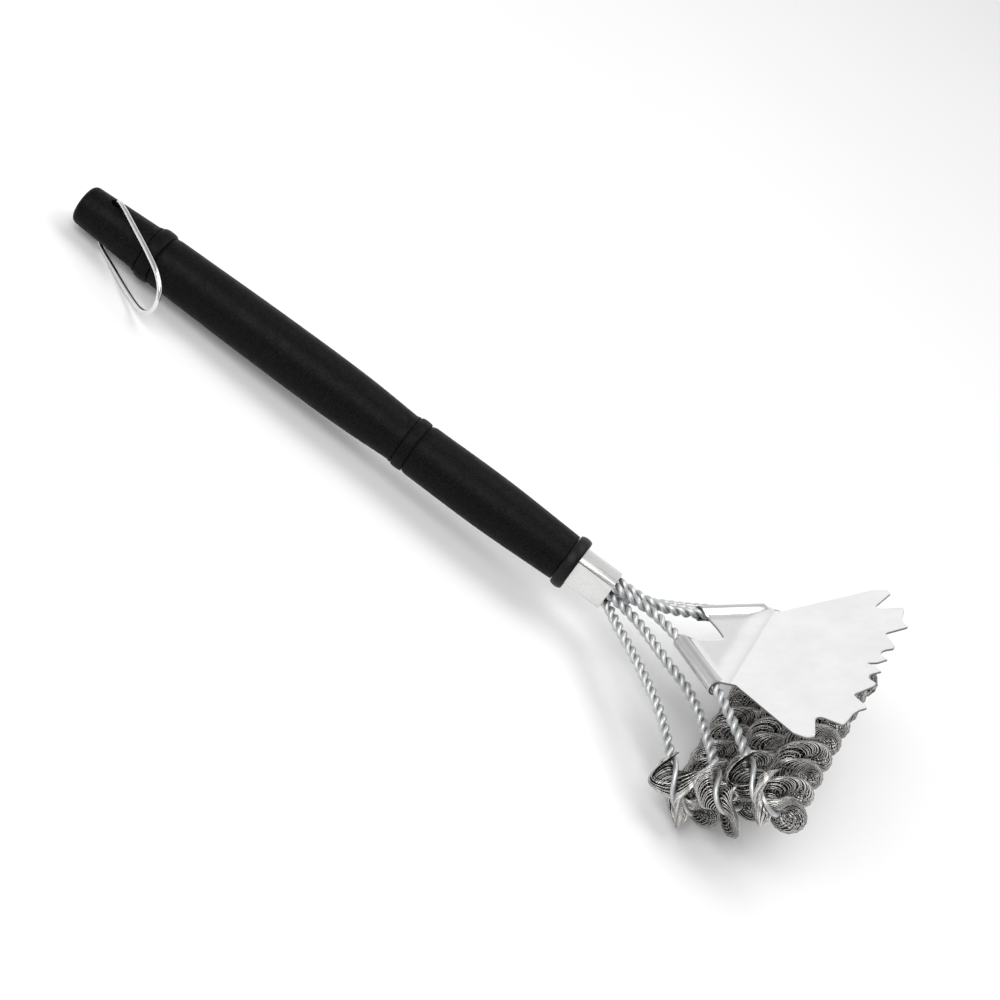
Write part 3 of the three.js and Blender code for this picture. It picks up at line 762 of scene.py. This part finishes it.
def ribbon_reach(key, bails, s, side):
    """How far the ribbon spreads to one side of its wires. It stays clear of other bails' arms, of
    the floor, of the brush's two sides and of the middle of its own bends."""
    bail = bails[key]
    centre, tangent, _, across = bail.frames(s)
    sag = np.clip(side * across @ SAG, 0, 1) ** 2
    by_bend = smoothstep(np.abs(s), *BEND_SWELLS) * (1 - smoothstep(np.abs(s), *BEND_SETTLES))
    swell = LOBE_SWELL + BEND_SWELL * by_bend + FAR_SWELL * smoothstep(centre[:, 1], *FAR_SIDE)
    full = (COIL_RADIUS - 1.5 * COIL_WIRE) * (1 + swell * sag)
    curvature = np.gradient(unit(tangent), s, axis=0)
    crowd = side * np.sum(curvature * across, 1)
    reach = np.minimum(full, BEND_ROOM / np.maximum(crowd, 1e-3))
    slip = OUTSIDE_SLIP * (1 - sag) * smoothstep(-crowd, *OUTSIDE_CURVES)
    reach = np.minimum(reach, full * (1 - slip))
    others = [b.path[np.abs(b.at) > b.reach - ARM_STRETCH] for name, b in bails.items() if name != key]
    others = np.vstack(others)[::6]     # every sixth point is close enough
    clearance = ARM_OFFSET + WIRE_RADIUS + 2 * COIL_WIRE
    for share in REACH_SHARES:
        point = centre + (side * share * full)[:, None] * across
        by_arm = np.linalg.norm(point[:, None] - others[None], axis=2).min(1) < clearance
        outside = (np.abs(point[:, 1]) > COIL_OUTSIDE) | (place(point)[:, 2] < 2 * COIL_WIRE)
        stopped = by_arm | outside
        reach[stopped] = np.minimum(reach, (share - REACH_BACK) * full)[stopped]
    n = REACH_NARROWED
    lowest = np.array([reach[max(0, i - n):i + n + 1].min() for i in range(len(s))])
    kernel = np.hanning(REACH_SMOOTHED) / np.hanning(REACH_SMOOTHED).sum()
    return np.convolve(np.pad(lowest, REACH_SMOOTHED // 2, mode="edge"), kernel, mode="valid")


def wind(key, bails, generator, spacing, lean, thickness, spread):
    """The path of a flattened, leaning spiral along the twisted ribbon, and at every point its
    turn angle, the direction across the ribbon's thickness and the distance along the bail."""
    bail = bails[key]
    turns = int(2 * (bail.reach - 0.5 * lean) / spacing)
    turn = np.arange(turns * TURN_STEPS + 1) / TURN_STEPS
    phi = turn * 2 * math.pi
    wander, breathe = (np.interp(turn, np.arange(turns + 2), generator.normal(0, 1, turns + 2))
                       for _ in range(2))
    middle = (turn / turns - 0.5) * turns * spacing
    room = bail.reach + COIL_END_ROOM - np.abs(middle)
    leaning = np.minimum(lean * (1 + LEAN_VARIES * breathe), room) * np.cos(phi)
    s = middle + leaning + TURNS_WANDER * spacing * wander
    grid = np.arange(-bail.reach - REACH_MARGIN, bail.reach + REACH_MARGIN, REACH_STEP)
    right = np.interp(s, grid, ribbon_reach(key, bails, grid, 1))
    left = np.interp(s, grid, ribbon_reach(key, bails, grid, -1))
    swing_out = np.sin(phi) * (1 - WIDTH_VARIES * np.abs(wander))
    w = spread * np.where(swing_out > 0, right, left) * swing_out
    pinch = PINCHED + (1 - PINCHED) * smoothstep(np.abs(swing_out), *PINCH_OPENS)
    t = thickness * np.cos(phi) * pinch
    centre, _, along, across = bail.frames(s)
    twist = 2 * math.pi * bail.turns(s) + bail.phase
    flop = (-0.5 * COIL_FLOP * np.sin(2 * twist) * smoothstep(np.abs(w), *FLOP_STARTS))[:, None]
    flat_across = across * np.cos(flop) - along * np.sin(flop)
    flat_along = along * np.cos(flop) + across * np.sin(flop)
    return centre + w[:, None] * flat_across + t[:, None] * flat_along, phi, flat_along, s


def painted_light_share(phi, s):
    """How bright every point of the outer winding's tube is painted, from 0, painted shade, to 1, painted
    highlight: most on the side that faces out of the ribbon, and some on its rims and towards the row's ends."""
    facing = np.cos(np.linspace(0, 2 * math.pi, OUTER_SIDES, endpoint=False))
    # Painted light and shade: faces turned out of the ribbon painted bright, faces turned into it painted
    # dark; the rims and the row's ends are painted brighter.
    outward = 0.5 + 0.5 * np.clip(PAINTED_SHADE_CONTRAST * np.cos(phi), -1, 1)[:, None] * facing[None]
    at_rim = smoothstep(np.abs(np.sin(phi)), *RIM)[:, None]
    toward_ends = smoothstep(np.abs(s), *LIGHTER_ENDS)[:, None]
    return np.maximum(np.maximum(outward, RIM_PAINTED_LIGHT * at_rim), ENDS_PAINTED_LIGHT * toward_ends)


def build_coil(key, bails, look, generator):
    """Fine wire wound as a flattened spiral, with inner turns between its layers that are painted dark as
    shade.
    """
    outer, phi, outer_along, outer_s = wind(key, bails, generator, **OUTER_WINDING)
    inner, _, inner_along, _ = wind(key, bails, generator, **INNER_WINDING)
    verts, faces = tube(outer, outer_along, COIL_WIRE, OUTER_SIDES)
    inner_verts, inner_faces = tube(inner, inner_along, COIL_WIRE, INNER_SIDES)
    faces += [[i + len(verts) for i in face] for face in inner_faces]
    piece = new_piece(f"{key}_coil_wire", place(np.vstack([verts, inner_verts])), faces, look, 80.0)
    # Painted light per point: the outer winding gets its share, and the inner winding stays at 0, painted
    # shade.
    painted_light = np.zeros(len(verts) + len(inner_verts), np.float32)
    painted_light[:len(phi) * OUTER_SIDES] = painted_light_share(phi, outer_s).ravel()
    layer = piece.data.attributes.new("painted_light", "FLOAT", "POINT")
    layer.data.foreach_set("value", painted_light)
    declare(piece, "brush", f"{key}_scrub_coil")


# ---------------------------------------------------------------- scraper

PLATE_START = np.array(BAILS["front"]["arm"][1])
PLATE_END = np.array(BAILS["front"]["arm"][3])
PLATE_TILT = math.atan2(PLATE_END[2] - PLATE_START[2], PLATE_END[0] - PLATE_START[0])
PLATE_UP = np.array([-math.sin(PLATE_TILT), 0.0, math.cos(PLATE_TILT)])
PLATE_FORE = np.array([math.cos(PLATE_TILT), 0.0, math.sin(PLATE_TILT)])
ROLL_MIDDLE = ROLL_INSIDE + SHEET_THICKNESS / 2


def plate_u(x):
    """Distance forward of the bend line, in the plate, of a place at X."""
    return (x - BEND_X) / math.cos(PLATE_TILT)


ROLL_FRONT = plate_u(PLATE_END[0]) + 0.001
# The bend's place in the brush's middle plane, at the height of the rolls' axes.
BEND_LEVEL = (PLATE_END + (BEND_X - PLATE_END[0]) / math.cos(PLATE_TILT) * PLATE_FORE) * [1, 0, 1]

# Half of the blade's outline, from the middle notch out to the bend line: (forward, y).
BLADE_HALF = (
    [(0.0559, 0.0), (0.0567, 0.0002), (0.0605, 0.0017), (0.0613, 0.0024), (0.0644, 0.0060)]
    + [(0.0643 - 0.0042 * math.cos(a), 0.0119 + 0.0042 * math.sin(a))
       for a in np.radians(np.linspace(-62, 62, 9))]
    + [(0.0646, 0.0172), (0.0648, 0.0188), (0.0646, 0.0204),
       (0.0588, 0.0289), (0.0580, 0.0301), (0.0578, 0.0310), (0.0581, 0.0318), (0.0590, 0.0328),
       (0.0656, 0.0396), (0.0661, 0.0408), (0.0658, 0.0417),
       (0.0637, 0.0438), (0.0625, 0.0460), (0.0616, 0.0485), (0.0611, 0.0520), (0.0608, 0.0550),
       (0.0604, 0.0578), (0.0598, 0.0588), (0.0590, 0.0590),
       (0.0503, 0.0555), (0.0487, 0.0551), (0.0474, 0.0556), (0.0466, 0.0566), (0.0464, 0.0580),
       (0.0497, 0.0705), (0.0500, 0.0720), (0.0495, 0.0735), (0.0482, 0.0745), (0.0465, 0.0746),
       (0.0440, 0.0738), (0.0400, 0.0723)]
)


def scraper_outline():
    """The flat blank: (u forward of the bend line, y), with the strips that become the rolls."""
    start = np.array([plate_u(PLATE_START[0]), PLATE_START[1]])
    stop = np.array([plate_u(PLATE_END[0]), PLATE_END[1]])
    direction = unit(stop - start)
    outward = np.array([-direction[1], direction[0]])
    strip = ROLL_MIDDLE * ROLL_OUTER_ANGLE
    half = list(BLADE_HALF)
    # Across the bend, back to the roll's front end, and round the strip that is rolled up.
    half += [(0.0027, BEND_WIDTH), (0.0, BEND_WIDTH - 0.0001),
             (plate_u(PLATE_END[0]) + 0.0012, PLATE_END[1] - 0.0004)]
    half += [tuple(stop)] + [tuple(stop + outward * strip * k / 12) for k in range(1, 13)]
    half += [tuple(start + outward * strip * k / 12) for k in range(12, 0, -1)] + [tuple(start)]
    # The rear notch, a curve drawn in from the roll's rear end.
    for k in np.linspace(0.12, 1.0, 12):
        u = (1 - k) ** 2 * start[0] + 2 * k * (1 - k) * plate_u(NOTCH_PULL[0]) + k * k * plate_u(NOTCH_X)
        y = (1 - k) ** 2 * start[1] + 2 * k * (1 - k) * NOTCH_PULL[1] + k * k * NOTCH_TIP
        half.append((u, y))
    mirrored = [(u, -y) for u, y in reversed(half[1:])]
    return half + mirrored, start, stop, direction, outward


def bent_forward(u):
    """How far a point of the blank lies ahead of the bend line once bent, and how high."""
    if u < -SHEET_BEND / 2:
        return u, 0.0
    turn = BLADE_TILT - PLATE_TILT
    radius = SHEET_BEND / turn
    angle = turn * np.clip((u + SHEET_BEND / 2) / SHEET_BEND, 0, 1)
    rest = max(0.0, u - SHEET_BEND / 2)
    ahead = -SHEET_BEND / 2 + radius * math.sin(angle) + rest * math.cos(turn)
    rise = radius * (1 - math.cos(angle)) + rest * math.sin(turn)
    return ahead, rise


def dish_depth(inward, u):
    """How far the plate lies below the tops of the rolls, inward of them."""
    flank = 1 - math.cos(min(inward / ROLL_MIDDLE, FLANK_TURN))
    settle = float(smoothstep(inward, *DISH_SETTLES))
    front = 1 - float(smoothstep(u, *DISH_CLOSES))
    return (ROLL_MIDDLE * flank * (1 - settle) + DISH * settle) * front


def sheet_point(flat, start, direction, outward):
    """Where a point of the flat blank lies once it is bent, dished and rolled: its middle surface."""
    u, y = flat
    side = 1.0 if y >= 0 else -1.0
    offset = np.array([u, abs(y)]) - start
    beyond = float(offset @ outward)
    if beyond > 0 and u < ROLL_FRONT:
        on_line = start + float(offset @ direction) * direction
        centre = BEND_LEVEL + on_line[0] * PLATE_FORE + np.array([0, on_line[1], 0])
        angle = beyond / ROLL_MIDDLE
        sideways = outward[0] * PLATE_FORE + np.array([0, outward[1], 0])
        point = centre + ROLL_MIDDLE * (math.sin(angle) * sideways + math.cos(angle) * PLATE_UP)
    else:
        ahead, rise = bent_forward(u)
        base = BEND_LEVEL + ROLL_MIDDLE * PLATE_UP
        sink = dish_depth(-beyond, u)
        point = base + ahead * PLATE_FORE + (rise - sink) * PLATE_UP + np.array([0, abs(y), 0])
    return np.array([point[0], side * point[1], point[2]])


def blank_points(outline, start, stop, outward):
    """Points inside the blank: an even grid, and closer rows along the bend and round the rolls."""
    us = np.arange(min(u for u, _ in outline), max(u for u, _ in outline), SHEET_STEP)
    ys = np.arange(-BLANK_HALF_WIDTH, BLANK_HALF_WIDTH, SHEET_STEP)
    points = [(u, y) for u in us for y in ys]
    points += [(u, y) for u in np.linspace(-0.5, 0.5, 5) * SHEET_BEND
               for y in np.arange(-BEND_WIDTH, BEND_WIDTH, BEND_STEP)]
    for sign in (1, -1):
        for k in ROLL_ROWS:
            d = ROLL_MIDDLE * ROLL_OUTER_ANGLE * k
            for m in np.linspace(0, 1, ROLL_COLUMNS):
                p = start + (stop - start) * m + outward * d
                points.append((p[0], sign * p[1]))
    return [p for p in points if inside_outline(p, outline) and far_from(p, outline, OUTLINE_MARGIN)]


def build_scraper(plate, edge_shade_look, rolled):
    outline, start, stop, direction, outward = scraper_outline()
    edges = [(i, (i + 1) % len(outline)) for i in range(len(outline))]
    points = [Vector(p) for p in outline + blank_points(outline, start, stop, outward)]
    verts, _, faces, *_ = delaunay_2d_cdt(points, edges, [], 1, 1e-6)
    bent = np.array([sheet_point((v.x, v.y), start, direction, outward) for v in verts])
    piece = new_piece("scraper", bent, [list(f) for f in faces], plate)
    # Each finish is followed by the one that its cut edges get: the cut edges are painted dark as a
    # reflection, and the rolls are painted darker as shade.
    for extra in (edge_shade_look, rolled, edge_shade_look):
        piece.data.materials.append(extra)
    flat = np.array([(v.x, abs(v.y)) for v in verts])
    # The rolls and their flanks get the sheet that is painted darker as shade.
    for polygon in piece.data.polygons:
        middle = flat[list(polygon.vertices)].mean(0)
        if (middle - start) @ outward > -ROLL_FLANK and middle[0] < ROLL_FRONT:
            polygon.material_index = 2
    thicken = piece.modifiers.new("sheet", "SOLIDIFY")
    thicken.thickness = SHEET_THICKNESS
    thicken.offset = 0.0
    thicken.use_even_offset = True
    thicken.material_offset_rim = 1
    apply_modifiers(piece)
    round_edges(piece, SHEET_BEVEL, 60.0)
    to_row(piece)
    finish_shading(piece, 40.0)
    declare(piece, "brush", "scraper_blade")


def inside_outline(point, outline):
    x, y = point
    inside = False
    for (x1, y1), (x2, y2) in zip(outline, outline[1:] + outline[:1]):
        if (y1 > y) != (y2 > y) and x < (x2 - x1) * (y - y1) / (y2 - y1) + x1:
            inside = not inside
    return inside


def far_from(point, outline, distance):
    a = np.array(outline)
    b = np.roll(a, -1, axis=0)
    ab = b - a
    t = np.clip(np.sum((np.array(point) - a) * ab, 1) / np.maximum(np.sum(ab * ab, 1), 1e-12), 0, 1)
    nearest = a + ab * t[:, None]
    return np.linalg.norm(nearest - np.array(point), axis=1).min() > distance


# ---------------------------------------------------------------- hanging loop

def build_loop(look):
    """A bent wire whose ends turn into the cross hole, and whose legs close in a round nose. Its
    route is (distance from the hole, height)."""
    z = LOOP_LEG_Z
    half = [(0, 0.0064), (0, 0.0104), (0.0009, z - 0.0008), (0.0032, z), (0.022, z), (0.040, z - 0.0006),
            (0.052, z - 0.0023), (0.0586, z - 0.0062)]
    points = [(d, 0.0, h) for d, h in half] + [(LOOP_LENGTH, 0.0, 0.0)]
    points += [(d, 0.0, -h) for d, h in reversed(half)]
    flat = catmull_rom(points, per_segment=14)
    c, s = math.cos(LOOP_SWING), math.sin(LOOP_SWING)
    path = np.stack([CROSS_HOLE_X + c * flat[:, 0], s * flat[:, 0], flat[:, 2]], 1)
    reference = np.tile(np.array([-s, c, 0.0]), (len(path), 1))
    verts, faces = tube(path, reference, LOOP_WIRE, LOOP_SIDES)
    piece = new_piece("wire_loop", place(verts), faces, look, 60.0)
    declare(piece, "loop", "hanging_loop")


# ---------------------------------------------------------------- camera, floor and light

def build_camera():
    at, target = place([CAMERA_AT, CAMERA_TARGET])
    ahead = unit(target - at)
    level = unit(np.cross(ahead, np.array(UP)))
    above = np.cross(level, ahead)
    top = math.cos(CAMERA_ROLL) * above + math.sin(CAMERA_ROLL) * level
    right = np.cross(ahead, top)
    data = bpy.data.cameras.new("camera")
    data.sensor_width = 36.0
    data.lens = CAMERA_LENS
    camera = bpy.data.objects.new("camera", data)
    bpy.context.scene.collection.objects.link(camera)
    matrix = np.eye(4)
    matrix[:3, 0], matrix[:3, 1], matrix[:3, 2], matrix[:3, 3] = right, top, -ahead, at
    camera.matrix_world = Matrix(matrix.tolist())
    bpy.context.scene.camera = camera


def area_light(name, at, size, power):
    """A rectangular light that points at the middle of the brush."""
    data = bpy.data.lights.new(name, "AREA")
    data.shape = "RECTANGLE"
    data.size, data.size_y = size
    data.energy = power
    light = bpy.data.objects.new(name, data)
    light.location = at
    light.rotation_euler = (-Vector(at)).to_track_quat("-Z", "Y").to_euler()
    bpy.context.scene.collection.objects.link(light)


def build_studio():
    corners = FLOOR_HALF * np.array([(-1, -1, 0), (1, -1, 0), (1, 1, 0), (-1, 1, 0)])
    floor = new_piece("floor", corners, [[0, 1, 2, 3]], floor_paper())
    area_light("key", (-0.5, -1.3, 1.6), (2.0, 1.3), 33.0)
    area_light("top", (0.25, 0.5, 1.7), (1.6, 1.0), 15.0)
    build_world()
    bpy.context.scene.view_settings.view_transform = "Standard"


def build_world():
    """Soft light all round: bright low down, dimmer overhead and on the camera's side."""
    world = bpy.data.worlds.new("studio")
    bpy.context.scene.world = world
    world.use_nodes = True
    tree = world.node_tree
    background = tree.nodes["Background"]
    where = tree.nodes.new("ShaderNodeTexCoord")
    split = tree.nodes.new("ShaderNodeSeparateXYZ")
    tree.links.new(where.outputs["Generated"], split.inputs[0])
    height = ramp(tree, split.outputs["Z"], [(0.0, 1.0), (0.34, 1.0), (0.50, 0.78), (0.58, 0.58),
                                             (0.75, 0.34), (1.0, 0.40)])
    depth = tree.nodes.new("ShaderNodeMapRange")
    for socket, value in {"From Min": -0.8, "From Max": 0.4, "To Min": 0.38, "To Max": 1.0}.items():
        depth.inputs[socket].default_value = value
    tree.links.new(split.outputs["Y"], depth.inputs["Value"])
    mixed = tree.nodes.new("ShaderNodeVectorMath")
    mixed.operation = "SCALE"
    tree.links.new(height, mixed.inputs[0])
    tree.links.new(depth.outputs["Result"], mixed.inputs["Scale"])
    tree.links.new(mixed.outputs["Vector"], background.inputs["Color"])
    background.inputs["Strength"].default_value = 1.05


# ---------------------------------------------------------------- the brush

build_camera()
build_studio()
build_handle(handle_plastic())
build_cap(cap_plastic())
build_ferrule(ferrule_sheet())
bails = {key: Bail(**spec) for key, spec in BAILS.items()}
strand_look, coil_look = bail_wire(), coil_wire()
generator = np.random.default_rng(SEED)
for key, bail in bails.items():
    build_strands(key, bail, strand_look)
    build_coil(key, bails, coil_look, generator)
build_scraper(scraper_sheet(), painted_dark_edge(), shaded_roll_sheet())
build_loop(loop_wire())
